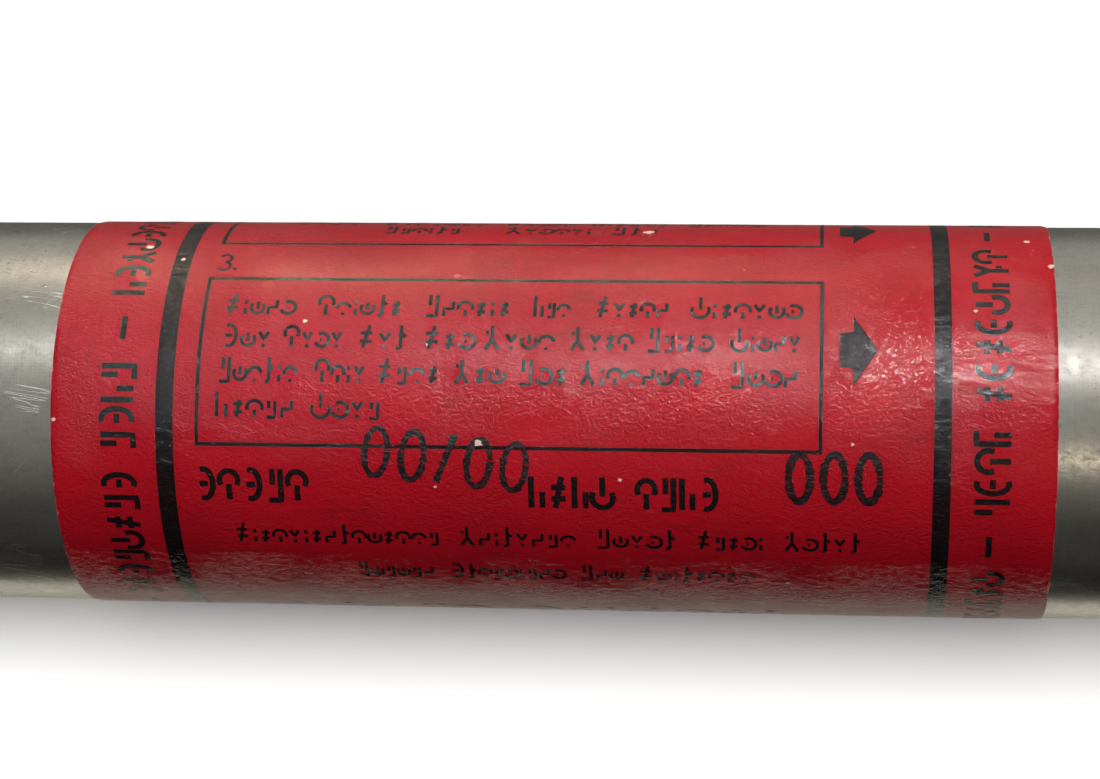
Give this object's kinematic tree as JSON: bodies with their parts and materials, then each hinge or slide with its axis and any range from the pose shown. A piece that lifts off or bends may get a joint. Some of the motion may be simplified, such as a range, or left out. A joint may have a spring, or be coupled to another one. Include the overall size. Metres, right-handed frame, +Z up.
{
  "type": "hand-held signal flare",
  "caption": "Hand-held pull-ring distress flare: a labelled aluminium launch tube with a rocket and parachute candle inside, a striker under a metal cap, and a shallow closure.",
  "frame": {"origin": "centre of the flare's length, on the surface that it lies on, under its axis", "axes": "+X along the flare's axis from the signal end to the trigger end, +Z up, +Y away from the side that the label's text faces"},
  "size_m": [0.267, 0.0462, 0.0463],
  "materials": {
    "aluminium": "satin, worn, with fine scratches",
    "red_label": "glossy varnished red label with black marks",
    "cap_aluminium": "drawn, satin",
    "cast_alloy": "as cast, matt",
    "steel": "plated, satin",
    "brass": "satin",
    "rubber": "matt",
    "cord_cotton": "braided cotton",
    "cloth_tape": "waxed cloth tape",
    "cork": "pressed cork",
    "card": "matt",
    "felt": "pressed felt",
    "parachute_cloth": "woven cloth, packed",
    "lacquer": "brushed lacquer bead",
    "inert_grain": "matt, pressed",
    "candle_filler": "matt, pressed"
  },
  "bodies": {
    "launcher": {"launch_tube": "aluminium", "label": "red_label", "lacquer_seal": "lacquer", "trigger_housing": "cast_alloy", "collar_gasket": "rubber", "cap_o_ring": "rubber", "base_wad": "card", "trigger_plate": "steel", "plate_screw_1": "steel", "plate_screw_2": "steel", "plate_screw_3": "steel", "rod_ferrule": "brass", "primer_holder": "brass", "primer": "brass", "striker_spring": "steel"},
    "cap": {"metal_cap": "cap_aluminium", "cap_liner": "cork", "sealing_tape": "cloth_tape"},
    "trigger": {"striker": "steel", "release_ball_1": "steel", "release_ball_2": "steel", "draw_rod": "steel", "pull_cord": "cord_cotton", "cord_crimp": "brass", "pull_ring": "steel"},
    "rocket": {"payload_case": "aluminium", "motor_coupler": "cast_alloy", "ejection_cup": "card", "delay_element": "brass", "motor_case": "steel", "propellant_grain": "inert_grain", "grain_trap": "steel", "nozzle": "cast_alloy", "nozzle_seal": "card", "tail_sleeve": "aluminium", "fin_shroud": "aluminium", "fin_1": "aluminium", "fin_2": "aluminium", "fin_3": "aluminium", "fin_4": "aluminium"},
    "payload": {"nose_disc": "cork", "parachute_pack": "parachute_cloth", "pack_band": "cord_cotton", "suspension_lines": "cord_cotton", "suspension_eye": "steel", "eye_stud": "steel", "candle_cap": "aluminium", "candle_case": "aluminium", "candle_filler": "candle_filler", "first_fire_disc": "inert_grain", "felt_wad": "felt"},
    "closure": {"signal_end_closure": "cap_aluminium", "closure_liner": "cork"}
  },
  "joints": [
    {"name": "cap_pull_off", "type": "slide", "parent": "launcher", "child": "cap", "axis": [1, 0, 0], "range_m": [0, 0.06]},
    {"name": "trigger_draw", "type": "slide", "parent": "launcher", "child": "trigger", "axis": [1, 0, 0], "range_m": [0, 0.008], "deforming": ["striker_spring"]},
    {"name": "rocket_launch", "type": "slide", "parent": "launcher", "child": "rocket", "axis": [-1, 0, 0], "range_m": [0, 0.19]},
    {"name": "payload_ejection", "type": "slide", "parent": "rocket", "child": "payload", "axis": [-1, 0, 0], "range_m": [0, 0.098]},
    {"name": "closure_release", "type": "slide", "parent": "payload", "child": "closure", "axis": [-1, 0, 0], "range_m": [0, 0.02]}
  ]
}
